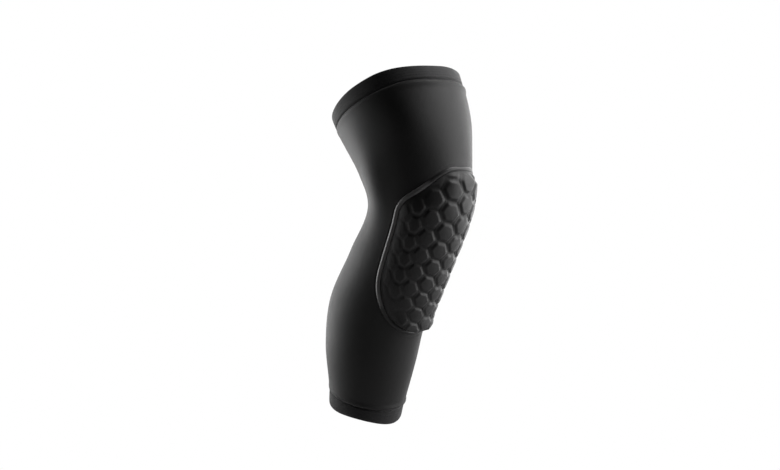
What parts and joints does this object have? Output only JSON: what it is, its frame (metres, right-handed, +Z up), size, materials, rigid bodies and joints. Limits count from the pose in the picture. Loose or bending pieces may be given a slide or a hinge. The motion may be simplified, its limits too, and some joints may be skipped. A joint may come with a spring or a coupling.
{
  "type": "padded leg sleeve",
  "caption": "Knitted compression leg sleeve in its worn, bent shape, open at thigh and calf, with a foam pad of raised hexagon cells over knee and shin.",
  "frame": {"origin": "middle of the leg that the sleeve is worn on, at the height of the knee", "axes": "+Z up along the worn leg, the knee faces -Y, and +X and -X are the two like sides"},
  "size_m": [0.16, 0.2037, 0.4318],
  "materials": {
    "knit": "fine black stretch knit with a soft sheen",
    "hem": "folded black knit, a little greyer than the tube",
    "pad": "black stretch cover drawn over foam cells",
    "rim": "pressed and welded edge, smoother than the cover"
  },
  "bodies": {
    "root": {"sleeve_body": "knit", "top_hem": "hem", "bottom_hem": "hem", "knee_pad": "pad", "pad_rim": "rim"}
  },
  "joints": []
}
